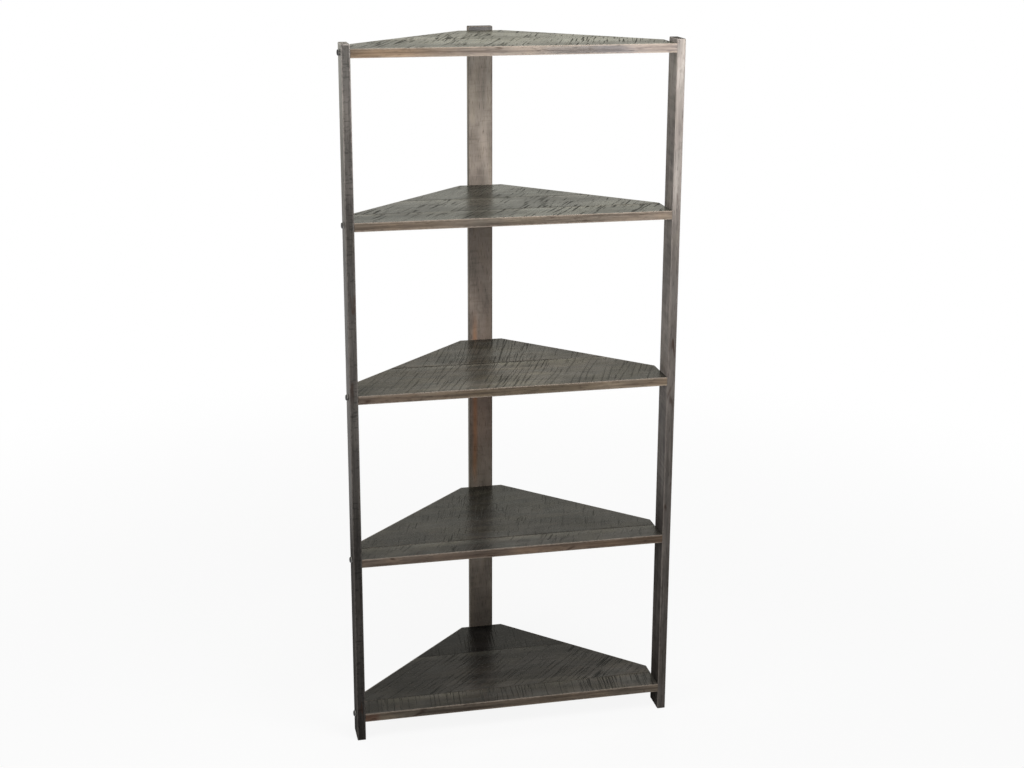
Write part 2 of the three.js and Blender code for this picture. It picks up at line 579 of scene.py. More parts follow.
def make_glue_seam():
    """A broken dark line along a glue joint, and the paler strip in front of it."""
    group, given, result = new_group(
        "glue_seam",
        {"Vector": (0, 0, 0), "Seam": 0.0, "Seed": 0.0},
        ("Line", "Pale Strip"),
    )
    parts = split(group, given["Vector"])
    spot = join(group, parts["X"], given["Seed"])
    ahead = minus(group, given["Seam"], parts["Y"])
    away = calc(group, "ABSOLUTE", ahead)
    reach = times(group, cloud(group, spot, 60.0), 0.01)
    near = calc(group, "DIVIDE", away, calc(group, "MAXIMUM", reach, 0.001))
    gaps = ramp(group, cloud(group, spot, 7.0), 0.34, 0.5)
    line = times(group, ramp(group, near, 0.3, 1.0, 1.0, 0.0), gaps)
    group.links.new(line, result["Line"])
    in_front = ramp(group, ahead, 0.0, 0.004)
    fading = ramp(group, ahead, 0.004, 0.035, 1.0, 0.0)
    strip = times(group, in_front, fading)
    uneven = ramp(group, cloud(group, spot, 12.0), 0.35, 0.6, 0.3, 1.0)
    group.links.new(times(group, strip, uneven), result["Pale Strip"])
    return group


def make_heart_streak():
    """A swaying upright stripe of warm heartwood over part of a post's height."""
    group, given, result = new_group(
        "heart_streak",
        {
            "Vector": (0, 0, 0),
            "Middle": 0.0,
            "Half Width": 0.005,
            "Low": 0.0,
            "High": 1.0,
            "Fade": 0.1,
        },
        ("Streak",),
    )
    parts = split(group, given["Vector"])
    sway = cloud(group, given["Vector"], (0, 0, 6))
    bent = times(group, minus(group, sway, 0.5), HEART_SWAY)
    shifted = plus(group, parts["X"], bent)
    away = calc(group, "ABSOLUTE", minus(group, shifted, given["Middle"]))
    share = calc(group, "DIVIDE", away, given["Half Width"])
    stripe = ramp(group, share, 0.0, 1.0, 1.0, 0.0)
    above = minus(group, parts["Z"], given["Low"])
    below = minus(group, given["High"], parts["Z"])
    inside = calc(group, "DIVIDE", calc(group, "MINIMUM", above, below), given["Fade"])
    ends = ramp(group, inside, 0.0, 1.0)
    group.links.new(times(group, stripe, ends), result["Streak"])
    return group


saw_marks = make_saw_marks()
wood_grain = make_wood_grain()
stain_clouds = make_stain_clouds()
face_masks = make_face_masks()
post_edges = make_post_edges()
shelf_edges = make_shelf_edges()
growth_rings = make_growth_rings()
glue_seam = make_glue_seam()
heart_streak = make_heart_streak()

# wood finishes

WHITE = (1, 1, 1, 1)
CHARCOAL_STAIN = (0.045, 0.043, 0.034, 1)
GREY_STAIN = (0.125, 0.12, 0.096, 1)
GREY_BROWN_STAIN = (0.2, 0.16, 0.128, 1)
RED_BROWN_STAIN = (0.21, 0.148, 0.1, 1)
DEEP_BROWN_STAIN = (0.065, 0.046, 0.034, 1)
PALE_STRIP_STAIN = (0.17, 0.155, 0.122, 1)
STROKE_BLACK = (0.008, 0.008, 0.007, 1)
PORE_BROWN = (0.012, 0.01, 0.009, 1)
KNOT_BROWN = (0.04, 0.021, 0.014, 1)
WORN_BROWN = (0.36, 0.3, 0.25, 1)
END_BROWN = (0.035, 0.028, 0.024, 1)
POST_END_DARK = (0.062, 0.057, 0.05, 1)
POST_END_LIGHT = (0.115, 0.108, 0.096, 1)
COOL_CAST = (0.94, 1.0, 1.07, 1)
WARM_CAST = (1.13, 1.0, 0.91, 1)
HEART_CAST = (1.38, 0.97, 0.72, 1)

# the axes along the grain, across it and through the board, by their numbers
GRAIN_ORDERS = {
    "shelf": (0, 1, 2),
    "left": (2, 1, 0),
    "right": (2, 1, 0),
    "rear": (2, 0, 1),
}

# how strongly each pattern shows in the colour
STREAK_SHARE = 0.55
SWATH_SHARE = 0.4
KNOT_SHARE = 0.75
PALE_STRIP_SHARE = 0.8
EDGE_CAST_SHARE = 0.35
PORE_SHARE = 0.6
MARK_SHARE = 0.9
WEAR_SHARE = 0.7

MARK_DEPTH = 0.0004
LACQUER_ROUGHNESS = 0.35
SEAM_SEEDS = 90

# the usual finish of a board: its roughness and shine, how far the saw marks reach onto
# its planed edges, and how strong its saw strokes, glue seams, casts and blots are
USUAL_FINISH = {
    "rough": 0.22,
    "shine": 0.105,
    "edge_marks": 0.0,
    "strokes": 1.0,
    "seams": 0.6,
    "casts": 1.0,
    "blots": 0.5,
}


def new_finish(name):
    """A material with its shader at hand."""
    material = bpy.data.materials.new(name)
    material.use_nodes = True
    shader = material.node_tree.nodes["Principled BSDF"]
    return material, material.node_tree, shader


def tone_along(tree, colour, parts, tones):
    """Multiplies a colour by tints that change along a board, from (axis, stops)."""
    for axis, stops in tones:
        start = stops[0][0]
        length = stops[-1][0] - start
        share = calc(tree, "DIVIDE", minus(tree, parts[axis], start), length)
        node = put(tree, "ShaderNodeValToRGB", {0: share})
        bands = node.color_ramp
        bands.interpolation = "EASE"
        while len(bands.elements) < len(stops):
            bands.elements.new(0.5)
        for element, (stop, tone) in zip(bands.elements, stops):
            element.position = (stop - start) / length
            element.color = tone + (1,)
        colour = tint(tree, 1.0, colour, node.outputs[0], "MULTIPLY")
    return colour


def board_patterns(tree, parts, order, offset, saw):
    """The patterns of one board's wood, laid along its grain."""
    along_grain = join(tree, *(parts[axis] for axis in order))
    board_space = put(
        tree, "ShaderNodeMapping", {"Vector": along_grain, "Location": offset}
    ).outputs[0]
    grain = place_group(tree, wood_grain, {"Vector": board_space})
    stain = place_group(tree, stain_clouds, {"Vector": board_space})
    axes = {"Wide Axis": AXES[order[2]], "Grain Axis": AXES[order[0]]}
    masks = place_group(tree, face_masks, axes)
    angle, spacing, length, cover, lines = saw
    marks = place_group(
        tree,
        saw_marks,
        {
            "Vector": along_grain,
            "Turn": math.radians(90 - angle),
            "Spacing": spacing,
            "Length": length,
            "Cover": cover,
            "Lines": lines,
            "Seed": offset[0],
        },
    )
    rings = place_group(tree, growth_rings, {"Vector": board_space})["Rings"]
    return grain, stain, masks, marks, rings


def sawn_colour(tree, grain, swaths, colours):
    """The stain of a wide sawn face, with its figure, its streaks and the saw's swaths."""
    dark = colours["wide_dark"]
    light = colours["wide_light"]
    colour = tint(tree, grain["Figure"], dark, light)
    colour = tint(tree, times(tree, grain["Streaks"], STREAK_SHARE), colour, dark)
    return tint(tree, times(tree, swaths, SWATH_SHARE), colour, light)


def planed_colour(tree, grain, stain, colours):
    """The stain of a planed edge, with its warmer patches and its dark grain."""
    light = tint(tree, stain["Patches"], colours["edge_light"], colours["edge_warm"])
    contrast = ramp(tree, grain["Streaks"], 0.2, 0.75)
    return tint(tree, contrast, colours["edge_dark"], light)


def add_seams(tree, place, colour, seams, strength):
    """Pale strips along the glue joints of a top, and a mask of their dark lines."""
    dark = 0.0
    for seam in seams:
        wires = {"Vector": place, "Seam": seam, "Seed": seam * SEAM_SEEDS}
        joint = place_group(tree, glue_seam, wires)
        pale = times(tree, joint["Pale Strip"], PALE_STRIP_SHARE * strength)
        colour = tint(tree, pale, colour, PALE_STRIP_STAIN)
        dark = calc(tree, "MAXIMUM", dark, times(tree, joint["Line"], strength))
    return colour, dark


def make_wood(name, order, offset, colours, saw, finish, edges, tones, seams=(), hearts=()):
    """Stained solid wood with saw marks on its wide faces and a satin clear coat."""
    material, tree, shader = new_finish(name)
    place = put(tree, "ShaderNodeTexCoord").outputs["Object"]
    parts = split(tree, place)
    grain, stain, masks, marks, rings = board_patterns(tree, parts, order, offset, saw)
    edge_group, edge_sizes = edges
    edge = place_group(tree, edge_group, {"Vector": place} | edge_sizes)["Band"]

    wide = masks["Wide Face"]
    end = masks["End Face"]
    sawn_share = calc(tree, "MAXIMUM", wide, finish["edge_marks"])
    strokes = times(tree, marks["Strokes"], times(tree, sawn_share, finish["strokes"]))
    kerfs = times(tree, marks["Kerfs"], sawn_share)
    swaths = times(tree, marks["Swaths"], wide)

    sawn = sawn_colour(tree, grain, swaths, colours)
    planed = planed_colour(tree, grain, stain, colours)
    # tints along the board from the tones: stain bands, with painted shade and light among
    # them
    sawn = tone_along(tree, sawn, parts, tones["wide"])
    planed = tone_along(tree, planed, parts, tones["edge"])
    planed = tint(tree, times(tree, stain["Knots"], KNOT_SHARE), planed, KNOT_BROWN)
    sawn, seam_line = add_seams(tree, place, sawn, seams, finish["seams"])
    seam_line = times(tree, seam_line, wide)
    colour = tint(tree, wide, planed, sawn)

    patchy = ramp(tree, stain["Patches"], 0.0, 1.0, 0.72, 1.2)
    grey = join(tree, patchy, patchy, patchy)
    colour = tint(tree, 1.0, colour, grey, "MULTIPLY")
    cast = tint(tree, stain["Warmth"], COOL_CAST, WARM_CAST)
    cast_share = ramp(tree, wide, 0.0, 1.0, EDGE_CAST_SHARE, finish["casts"])
    colour = tint(tree, cast_share, colour, cast, "MULTIPLY")
    for heart in hearts:
        streak = place_group(tree, heart_streak, {"Vector": place} | heart)["Streak"]
        colour = tint(tree, streak, colour, HEART_CAST, "MULTIPLY")
    blots = times(tree, stain["Blots"], finish["blots"])
    colour = tint(tree, blots, colour, colours["edge_dark"])
    colour = tint(tree, times(tree, grain["Pores"], PORE_SHARE), colour, PORE_BROWN)
    dark = calc(tree, "MAXIMUM", strokes, seam_line)
    colour = tint(tree, times(tree, dark, MARK_SHARE), colour, STROKE_BLACK)
    end_colour = tint(tree, rings, colours["end_dark"], colours["end_light"])
    colour = tint(tree, end, colour, end_colour)
    long_grain = minus(tree, 1.0, end)
    worn = times(tree, times(tree, edge, long_grain), WEAR_SHARE)
    worn_colour = tone_along(tree, colours["worn"], parts, tones.get("worn", ()))
    colour = tint(tree, worn, colour, worn_colour)

    rough = ramp(tree, stain["Patches"], 0.0, 1.0, finish["rough"] + 0.07, finish["rough"])
    for pattern, share in ((dark, 0.3), (kerfs, 0.06), (end, 0.3)):
        rough = calc(tree, "ADD", rough, times(tree, pattern, share), clamp=True)
    relief = times(tree, kerfs, 0.15)
    for pattern, share in ((dark, -0.8), (grain["Pores"], -0.25), (grain["Streaks"], 0.1)):
        relief = plus(tree, relief, times(tree, pattern, share))
    wires = {
        "Base Color": colour,
        "Roughness": rough,
        "Normal": raised(tree, relief, MARK_DEPTH),
        "Specular IOR Level": finish["shine"],
    }
    wire(tree, shader, wires)
    if "lacquer" in tones:
        lacquer = tone_along(tree, WHITE, parts, tones["lacquer"])
        lacquer = put(tree, "ShaderNodeSeparateColor", {0: lacquer}).outputs[0]
        coat = times(tree, lacquer, long_grain)
        wire(tree, shader, {"Coat Weight": coat, "Coat Roughness": LACQUER_ROUGHNESS})
    return material


SHELF_COLOURS = {
    "wide_dark": CHARCOAL_STAIN,
    "wide_light": GREY_STAIN,
    "edge_dark": DEEP_BROWN_STAIN,
    "edge_light": GREY_BROWN_STAIN,
    "edge_warm": RED_BROWN_STAIN,
    "end_dark": END_BROWN,
    "end_light": DEEP_BROWN_STAIN,
    "worn": WORN_BROWN,
}

# the light stain of each post, how much of it the dark grain and the worn edges have,
# and how pale the end grain is
POST_STAINS = {
    "left": (0.127, 0.114, 0.105, 1),
    "right": (0.372, 0.328, 0.298, 1),
    "rear": (0.37, 0.32, 0.27, 1),
}
POST_DEPTHS = {"left": 0.42, "right": 0.42, "rear": 0.62}
POST_WEAR = {"left": 1.8, "right": 0.65, "rear": 0.45}
POST_ENDS = {"left": 3.2, "right": 1.0, "rear": 0.7}


def greys(*stops):
    """Grey tones, from (place, tone), as the tints that tone_along takes."""
    return tuple((place, (tone, tone, tone)) for place, tone in stops)


def shade(colour, factor):
    """A colour made darker or lighter."""
    return tuple(part * factor for part in colour[:3]) + (1,)


# stain and shade bands up the posts, as (height, tint), on the wide and the narrow faces, in
# the lacquer and on the worn edges. Their darkening towards the floor and lightening
# towards the top are partly uneven stain and partly painted shade and light, for the
# light that falls from above; the rear post is darker and cooler above the top shelf.
POST_TOP = cad_box[1].z
POST_TONES = {
    "left": {
        "wide": greys((0, 0.7), (0.5, 0.75), (0.72, 1.06), (1.4, 1.1), (POST_TOP, 1.3)),
        "edge": greys(
            (0, 0.36), (0.3, 0.56), (0.6, 0.43), (0.75, 0.78), (1.12, 1.15),
            (1.2, 0.66), (1.43, 0.66), (1.49, 1.25), (POST_TOP, 1.15),
        ),
        "lacquer": greys(
            (0, 0.04), (0.5, 0.06), (0.75, 0.35), (1.5, 0.4), (POST_TOP, 0.9)
        ),
        "worn": greys(
            (0, 0.7), (0.6, 0.7), (0.8, 1.0), (1.45, 1.0), (1.6, 2.0), (POST_TOP, 2.0)
        ),
    },
    "right": {
        "wide": greys((0, 0.31), (0.5, 0.38), (0.8, 0.83), (1.4, 0.8), (POST_TOP, 1.1)),
        "edge": greys(
            (0, 0.42), (0.45, 0.4), (0.6, 0.53), (0.85, 0.62), (1.05, 0.38),
            (1.2, 0.6), (1.36, 0.48), (1.46, 0.88), (1.75, 1.1), (POST_TOP, 0.8),
        ),
        "lacquer": greys((0, 0.02), (0.5, 0.04), (0.8, 0.2), (1.5, 0.22), (POST_TOP, 0.4)),
    },
    "rear": {
        "wide": (
            (0, (0.95, 0.93, 0.93)),
            (0.5, (1.0, 0.98, 0.98)),
            (0.74, (1.18, 1.03, 1.0)),
            (1.18, (1.3, 1.25, 1.27)),
            (1.77, (1.25, 1.25, 1.27)),
            (1.79, (0.54, 0.58, 0.66)),
            (POST_TOP, (0.43, 0.48, 0.57)),
        ),
        "edge": greys((0, 0.9), (POST_TOP, 1.0)),
        "lacquer": greys((0, 0.1), (POST_TOP, 0.2)),
    },
}

# tints of the shelves' tops from front to rear and from left to right, and of their front
# edges from left to right. Beside each board's own stain they darken the bottom shelf
# towards its rear, where the shelf above shades it, and lighten and cool most front edges
# towards the right, as painted shade and light; they also darken the tops towards their
# left ends and shelf 3's top away from its middle.
SHELF_REACH = 0.404
TOP_PLACES = (FRONT, FRONT + 0.05, FRONT + 0.17, FRONT + 0.36)
TOP_TINTS = {
    1: ((0.66, 0.65, 0.57), (0.72, 0.71, 0.62), (1.36, 1.35, 1.2), (0.95, 0.93, 0.8)),
    2: ((0.63, 0.64, 0.64), (0.62, 0.64, 0.64), (0.69, 0.7, 0.71), (0.56, 0.59, 0.59)),
    3: ((1.13, 1.06, 1.1), (1.13, 1.06, 1.1), (1.38, 1.25, 1.28), (1.3, 1.22, 1.28)),
    4: ((0.54, 0.51, 0.56), (0.55, 0.52, 0.57), (0.57, 0.54, 0.58), (0.68, 0.66, 0.7)),
    5: ((0.9, 0.83, 0.9), (0.84, 0.77, 0.84), (0.5, 0.45, 0.5), (0.3, 0.28, 0.32)),
}
TOP_SHADES = {
    1: greys((-SHELF_REACH, 0.6), (-0.08, 1.0), (SHELF_REACH, 0.88)),
    2: greys((-SHELF_REACH, 0.42), (-0.05, 1.0), (SHELF_REACH, 1.0)),
    3: greys((-SHELF_REACH, 0.5), (-0.1, 1.0), (0.06, 1.0), (0.2, 0.66), (SHELF_REACH, 0.68)),
    4: greys((-SHELF_REACH, 0.82), (-0.08, 1.0), (SHELF_REACH, 1.0)),
    5: greys((-SHELF_REACH, 0.5), (-0.05, 0.9), (SHELF_REACH, 1.15)),
}


def end_to_end(left, middle, right):
    """Tints at a shelf's left end, its middle and its right end."""
    return ((-SHELF_REACH, left), (0, middle), (SHELF_REACH, right))


EDGE_TINTS = {
    1: end_to_end((1.34, 1.31, 1.25), (1.36, 1.52, 1.74), (1.29, 1.51, 1.93)),
    2: end_to_end((1.05, 1.12, 1.18), (1.02, 1.14, 1.23), (1.23, 1.31, 1.41)),
    3: end_to_end((1.0, 1.06, 1.15), (0.89, 0.95, 0.94), (2.25, 2.3, 2.2)),
    4: end_to_end((1.1, 1.13, 1.2), (1.2, 1.17, 1.18), (0.7, 0.68, 0.68)),
    5: (
        (-SHELF_REACH, (0.7, 0.56, 0.53)),
        (-0.378, (0.7, 0.58, 0.57)),
        (-0.358, (0.85, 0.93, 0.95)),
        (0, (0.95, 0.96, 0.94)),
        (SHELF_REACH, (1.05, 1.12, 1.17)),
    ),
}


def shelf_tones(number):
    """The tints of one shelf's top, by depth and across, and along its front edge."""
    depth_tints = tuple(zip(TOP_PLACES, TOP_TINTS[number]))
    return {
        "wide": (("Y", depth_tints), ("X", TOP_SHADES[number])),
        "edge": (("X", EDGE_TINTS[number]),),
    }


def post_colours(side):
    """The stain of one post: the right one took less of it than the left one."""
    light = POST_STAINS[side]
    deep = shade(light, POST_DEPTHS[side])
    return {
        "wide_dark": deep,
        "wide_light": light,
        "edge_dark": deep,
        "edge_light": light,
        "edge_warm": light,
        "end_dark": shade(POST_END_DARK, POST_ENDS[side]),
        "end_light": shade(POST_END_LIGHT, POST_ENDS[side]),
        "worn": shade(light, POST_WEAR[side]),
    }


# what the finish of a shelf, or of one board of it, has of its own
SHELF_FINISHES = {
    1: {"shine": 0.063},
    3: {"shine": 0.036, "rough": 0.17, "strokes": 0.75, "seams": 1},
    4: {"shine": 0.076, "rough": 0.17, "strokes": 0.8},
    5: {"shine": 0.075, "rough": 0.16, "seams": 0.4},
    (5, "rear"): {"shine": 0.062},
}

# the saw's traces on each board: their angle in degrees, the spacing and the length of
# the strokes in metres, how much of the wood they cover, and the share of long lines
SHELF_SAWS = {
    (1, "front"): (72, 0.0039, 0.12, 0.38, 0.4),
    (1, "rear"): (70, 0.0039, 0.12, 0.36, 0.4),
    (2, "front"): (58, 0.0045, 0.08, 0.34, 0.1),
    (2, "middle"): (60, 0.0045, 0.08, 0.3, 0.2),
    (2, "rear"): (62, 0.0045, 0.09, 0.25, 0.1),
    (3, "front"): (67, 0.0042, 0.12, 0.2, 1.0),
    (3, "rear"): (71, 0.0042, 0.12, 0.15, 0.9),
    (4, "front"): (64, 0.0035, 0.05, 0.15, 0.4),
    (4, "rear"): (74, 0.0035, 0.08, 0.12, 0.4),
    (5, "front"): (87, 0.0035, 0.12, 0.3, 1.0),
    (5, "middle"): (47, 0.0038, 0.1, 0.25, 0.9),
    (5, "rear"): (83, 0.0035, 0.12, 0.15, 0.8),
}

# shelves

shelf_half_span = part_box("shelf_1_front_board")[1].x
shelf_slope = END_DEPTH + FRONT + shelf_half_span


def shelf_planes(low, high, front_board, rear_board):
    """The planes of one board: its flats, its slopes, its other rims and its glue."""
    across, ahead, up = AXES
    corner = Vector((shelf_half_span, shelf_slope - shelf_half_span, low.z))
    mirrored = Vector((-corner.x, corner.y, corner.z))
    flats = [(low, up), (high, up)]
    slopes = [
        (corner, Vector((1, 1, 0)).normalized()),
        (mirrored, Vector((-1, 1, 0)).normalized()),
    ]
    rims = [(across * reach, across) for reach in (-shelf_half_span, shelf_half_span)]
    glue = []
    for place, outside in ((low, front_board), (high, rear_board)):
        (rims if outside else glue).append((place, ahead))
    return flats, slopes, rims, glue


def bore_for_inserts(piece, number, low, high, rear_board):
    """The holes that the threaded inserts of one board sit in."""
    for side in SIDES:
        centre = bolt_centre(number, side)
        centre.z = (low.z + high.z) / 2
        if side == "rear":
            centre.y = high.y
            inside = rear_board
        else:
            centre.x = math.copysign(shelf_half_span, centre.x)
            inside = low.y < centre.y < high.y
        if inside:
            drill(piece, centre, BOLT_AXES[side], INSERT_HOLE, 2 * INSERT_HOLE_DEPTH)


def make_shelf_board(number, board):
    """One glued-up board of a shelf, cut to the shelf's outline."""
    node = f"shelf_{number}_{board}_board"
    front_board = board == BOARDS[number][0]
    rear_board = board == BOARDS[number][-1]
    low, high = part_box(node)
    flats, slopes, rims, glue = shelf_planes(low, high, front_board, rear_board)
    outer = flats + slopes + rims
    piece = start_block(f"{node}_wood", low, high)
    for point, normal in slopes:
        cut(piece, point, normal, clear=True)
    cross_cut(piece, low, high, 0)
    if glue:
        ease_edges(piece, glue, flats, GLUE_CHAMFER, 1)
    ease_edges(piece, outer, [], EASE, EASE_STEPS)
    wear_edges(piece, outer + glue)
    bore_for_inserts(piece, number, low, high, rear_board)
    smooth_rounds(piece)
    edge_sizes = {
        "Middle Height": (low.z + high.z) / 2,
        "Half Thickness": (high.z - low.z) / 2,
        "Front": FRONT,
        "Rear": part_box(f"shelf_{number}_rear_board")[1].y,
        "Slope Sum": shelf_slope,
    }
    own_finish = SHELF_FINISHES.get(number, {}) | SHELF_FINISHES.get((number, board), {})
    finish = make_wood(
        f"{node}_stain",
        GRAIN_ORDERS["shelf"],
        (number * 1.37 + low.y * 9, number * 0.71 + low.y * 5, number * 0.29),
        SHELF_COLOURS,
        SHELF_SAWS[number, board],
        USUAL_FINISH | own_finish,
        (shelf_edges, edge_sizes),
        shelf_tones(number),
        seams=[point.y for point, normal in glue],
    )
    hand_over(piece, node, finish)


for shelf_number, board_names in BOARDS.items():
    for board_name in board_names:
        make_shelf_board(shelf_number, board_name)

# posts

POST_FINISH = USUAL_FINISH | {"rough": 0.5, "shine": 0.0, "edge_marks": 0.8, "casts": 0.35}
POST_FINISHES = {
    "left": POST_FINISH | {"strokes": 0.62, "blots": 0.85},
    "right": POST_FINISH | {"strokes": 0.2},
    "rear": POST_FINISH | {"strokes": 0.2},
}
POST_SAWS = {
    "left": (58, 0.004, 0.06, 0.3, 0.5),
    "right": (84, 0.003, 0.04, -0.1, 0.3),
    "rear": (86, 0.003, 0.04, -0.1, 0.3),
}
POST_HEARTS = {
    "left": (),
    "right": (),
    "rear": ({"Middle": -0.017, "Half Width": 0.011, "Low": 0.5, "High": 1.05},),
}


def make_post(side):
    """One upright board with eased edges and a hole for each shelf's bolt."""
    node = f"{side}_post"
    low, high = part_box(node)
    piece = start_block(f"{node}_wood", low, high)
    cross_cut(piece, low, high, 2)
    planes = [(corner, axis) for corner in (low, high) for axis in AXES]
    ease_edges(piece, planes, [], EASE, EASE_STEPS)
    wear_edges(piece, planes)
    right_through = 4 * (high.y - low.y + high.x - low.x)
    for number in BOARDS:
        centre = bolt_centre(number, side)
        drill(piece, centre, BOLT_AXES[side], BOLT_HOLE, right_through)
    smooth_rounds(piece)
    edge_sizes = {"Centre": (low + high) / 2, "Half Size": (high - low) / 2}
    finish = make_wood(
        f"{node}_stain",
        GRAIN_ORDERS[side],
        (SIDES.index(side) * 2.3, SIDES.index(side) * 1.1, 0.4),
        post_colours(side),
        POST_SAWS[side],
        POST_FINISHES[side],
        (post_edges, edge_sizes),
        {face: (("Z", stops),) for face, stops in POST_TONES[side].items()},
        hearts=POST_HEARTS[side],
    )
    hand_over(piece, node, finish)


for post_side in SIDES:
    make_post(post_side)

# bolts

HEAD_DIAMETER = 0.0165
HEAD_HEIGHT = 0.0065
HEAD_RIM = 0.0012
RIM_ROUND = 0.0003
CROWN_DIAMETER = 0.008
DOME_STEPS = 8
SOCKET_ACROSS = 0.0058
SOCKET_DEPTH = 0.0034
BOLT_DIAMETER = 0.008
BOLT_LENGTH = 0.0462
TIP_CHAMFER = 0.0012
SIDE_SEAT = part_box("right_post")[1].x
REAR_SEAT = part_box("rear_post")[1].y
BOLT_TURNS = {"left": math.radians(180), "right": 0, "rear": math.radians(90)}
OXIDE_BLACK = (0.02, 0.02, 0.022, 1)
OXIDE_GREY = (0.055, 0.055, 0.06, 1)
# pale steel painted round the bolt heads' rims as a highlight
HIGHLIGHT_STEEL = (0.42, 0.41, 0.39, 1)
BRASS = (0.66, 0.5, 0.22, 1)
TARNISHED_BRASS = (0.32, 0.22, 0.09, 1)
TOOL_MARK_DEPTH = 0.0001


def turn_profile(name, profile):
    """Turns a piece on the X axis from (place along the axis, radius) steps."""
    deselect_all()
    start, radius = profile[0]
    bpy.ops.mesh.primitive_circle_add(
        vertices=ROUND_SIDES,
        radius=radius,
        fill_type="NGON",
        location=(start, 0, 0),
        rotation=(0, math.radians(90), 0),
    )
    piece = bpy.context.object
    piece.name = name
    settle(piece)
    bpy.ops.object.mode_set(mode="EDIT")
    bpy.ops.mesh.select_all(action="SELECT")
    for (before, radius_before), (after, radius_after) in zip(profile, profile[1:]):
        bpy.ops.mesh.extrude_region_move(
            TRANSFORM_OT_translate={"value": (after - before, 0, 0)}
        )
        share = radius_after / radius_before
        bpy.ops.transform.resize(value=(1, share, share), center_override=(0, 0, 0))
    bpy.ops.mesh.select_all(action="SELECT")
    bpy.ops.mesh.normals_make_consistent(inside=False)
    bpy.ops.object.mode_set(mode="OBJECT")
    return piece


def make_bolt_master():
    """A dome-headed bolt along +X, with the head's seat at the origin."""
    shank = BOLT_DIAMETER / 2
    head = HEAD_DIAMETER / 2
    crown = CROWN_DIAMETER / 2
    profile = [
        (-BOLT_LENGTH, shank - TIP_CHAMFER),
        (-BOLT_LENGTH + TIP_CHAMFER, shank),
        (0, shank),
        (0, head - RIM_ROUND),
        (RIM_ROUND, head),
        (HEAD_RIM, head),
    ]
    for step in range(1, DOME_STEPS + 1):
        turn = math.radians(90) * step / DOME_STEPS
        along = HEAD_RIM + (HEAD_HEIGHT - HEAD_RIM) * math.sin(turn)
        profile.append((along, crown + (head - crown) * math.cos(turn)))
    piece = turn_profile("bolt_master", profile)
    top = (HEAD_HEIGHT, 0, 0)
    drill(piece, top, AXES[0], SOCKET_ACROSS, 2 * SOCKET_DEPTH, sides=6)
    choose(piece)
    bpy.ops.object.shade_smooth_by_angle(angle=SMOOTH_ANGLE)
    return piece


def make_bolt_black():
    """Black oxide with a slight oil sheen, and a painted highlight of pale steel in patches
    round the rims of the heads, where the light from the front would glint.
    """
    material, tree, shader = new_finish("black_bolt_oxide")
    place = put(tree, "ShaderNodeTexCoord").outputs["Object"]
    parts = split(tree, place)
    off_side = minus(tree, calc(tree, "ABSOLUTE", parts["X"]), SIDE_SEAT)
    off_rear = minus(tree, parts["Y"], REAR_SEAT)
    height = calc(tree, "MAXIMUM", off_side, off_rear)
    rim = ramp(tree, height, HEAD_RIM, 0.6 * HEAD_HEIGHT, 1.0, 0.0)
    fine = cloud(tree, place, 900.0, 3.0)
    highlight_patches = ramp(tree, cloud(tree, place, 260.0), 0.35, 0.55)
    colour = tint(tree, fine, OXIDE_BLACK, OXIDE_GREY)
    # painted highlight: pale steel patches round the rims, standing for the glint of the
    # light from the front
    colour = tint(tree, times(tree, rim, highlight_patches), colour, HIGHLIGHT_STEEL)
    wires = {
        "Base Color": colour,
        "Roughness": ramp(tree, fine, 0.2, 0.8, 0.3, 0.5),
        "Metallic": 0.35,
        "Normal": raised(tree, fine, TOOL_MARK_DEPTH, 0.6),
    }
    wire(tree, shader, wires)
    return material


def make_insert_brass():
    """Turned brass with fine lathe lines and a little tarnish."""
    material, tree, shader = new_finish("brass_insert_turned")
    place = put(tree, "ShaderNodeTexCoord").outputs["Object"]
    tarnish = ramp(tree, cloud(tree, place, 200.0, 3.0), 0.4, 0.7)
    wires = {
        "Base Color": tint(tree, tarnish, BRASS, TARNISHED_BRASS),
        "Roughness": ramp(tree, tarnish, 0.0, 1.0, 0.28, 0.5),
        "Metallic": 1,
    }
    lathe_lines = cloud(tree, place, (3000, 3000, 40), 1.0)
    wires["Normal"] = raised(tree, lathe_lines, TOOL_MARK_DEPTH, 0.4)
    wire(tree, shader, wires)
    return material


bolt_master = make_bolt_master()
bolt_black = make_bolt_black()
insert_brass = make_insert_brass()


def place_bolt(number, side):
    """One bolt of the set, with its head against its post."""
    node = f"shelf_{number}_{side}_bolt"
    low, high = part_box(node)
    seat = bolt_centre(number, side)
    if side == "rear":
        seat.y = high.y - HEAD_HEIGHT
    elif side == "left":
        seat.x = low.x + HEAD_HEIGHT
    else:
        seat.x = high.x - HEAD_HEIGHT
    piece = bpy.data.objects.new(f"{node}_steel", bolt_master.data.copy())
    bpy.context.collection.objects.link(piece)
    turn = Matrix.Rotation(BOLT_TURNS[side], 4, "Z")
    piece.data.transform(Matrix.Translation(seat) @ turn)
    hand_over(piece, node, bolt_black)


for shelf_number in BOARDS:
    for post_side in SIDES:
        place_bolt(shelf_number, post_side)
        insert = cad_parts[f"shelf_{shelf_number}_{post_side}_insert"]
        insert.data.materials.clear()
        insert.data.materials.append(insert_brass)
bpy.data.objects.remove(bolt_master)

# floor and background

FLOOR_SIZE = 14
FLOOR_FADE_START = 0.9
FLOOR_FADE_END = 3.2
FLOOR_WHITE_SHARE = 0.9
FLOOR_PALE = (0.95, 0.95, 0.94, 1)
WARM_WHITE = (1, 0.985, 0.89, 1)
SKY_STRENGTH = 0.1


def background_rays(tree):
    """1 for the rays that show the background: camera, glossy and transmission."""
    path = put(tree, "ShaderNodeLightPath").outputs
    seen = calc(tree, "MAXIMUM", path["Is Camera Ray"], path["Is Glossy Ray"])
    return calc(tree, "MAXIMUM", seen, path["Is Transmission Ray"])


